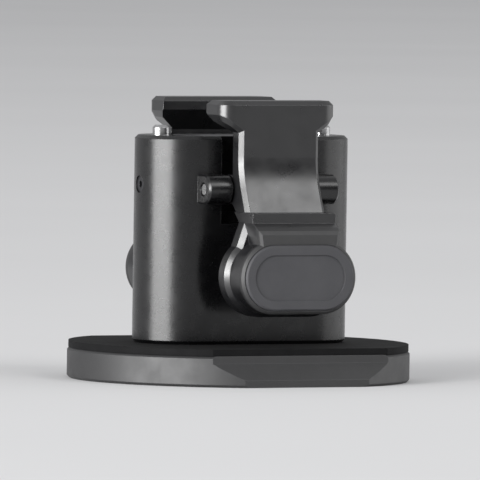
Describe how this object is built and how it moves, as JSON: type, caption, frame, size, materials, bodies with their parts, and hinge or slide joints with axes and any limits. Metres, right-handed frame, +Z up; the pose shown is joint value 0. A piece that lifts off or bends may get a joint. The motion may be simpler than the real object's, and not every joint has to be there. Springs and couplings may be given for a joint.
{
  "type": "quick release adapter",
  "caption": "Black two-claw quick release adapter: round dovetail base plate, upright housing, and a sprung claw with a push button front and back.",
  "frame": {"origin": "middle of the base plate's underside, on the thread's axis", "axes": "+X along the dovetail and the camera rail, +Y from the front claw to the rear claw, +Z up from the plate to the claws"},
  "size_m": [0.0414, 0.038, 0.0339],
  "materials": {
    "housing_black": "black anodised, satin",
    "plate_black": "black anodised, satin",
    "lever_black": "charcoal anodised, satin",
    "button_inlay": "fine grained, matt",
    "grip_rubber": "matt",
    "steel": "turned",
    "black_steel": "black oxide",
    "spring_steel": "drawn wire",
    "seat_steel": "brushed along the rail",
    "magnet_nickel": "nickel plated"
  },
  "bodies": {
    "housing": {"base_plate": "plate_black", "grip_pad": "grip_rubber", "thread_insert": "steel", "body": "housing_black", "seat_plate": "seat_steel", "dowel_left": "steel", "dowel_right": "steel", "front_pivot_pin": "steel", "rear_pivot_pin": "steel", "front_spring": "spring_steel", "rear_spring": "spring_steel", "magnet_left": "magnet_nickel", "magnet_right": "magnet_nickel", "locating_pin_left": "steel", "locating_pin_right": "steel", "seat_screw_left": "black_steel", "seat_screw_right": "black_steel", "end_screw_left": "black_steel", "end_screw_right": "black_steel", "base_screw_1": "black_steel", "base_screw_2": "black_steel", "base_screw_3": "black_steel", "base_screw_4": "black_steel"},
    "front_claw": {"front_lever": "lever_black", "front_button_pad": "button_inlay"},
    "rear_claw": {"rear_lever": "lever_black", "rear_button_pad": "button_inlay"}
  },
  "joints": [
    {"name": "front_claw_swing", "type": "hinge", "parent": "housing", "child": "front_claw", "pos_m": [0, -0.0076, 0.0232], "axis": [1, 0, 0], "range_deg": [0, 16], "stiffness_Nm_per_rad": 0.12, "springref_deg": -28.65, "deforming": ["front_spring"]},
    {"name": "rear_claw_swing", "type": "hinge", "parent": "housing", "child": "rear_claw", "pos_m": [0, 0.0076, 0.0232], "axis": [-1, 0, 0], "range_deg": [0, 16], "stiffness_Nm_per_rad": 0.12, "springref_deg": -28.65, "deforming": ["rear_spring"]}
  ]
}
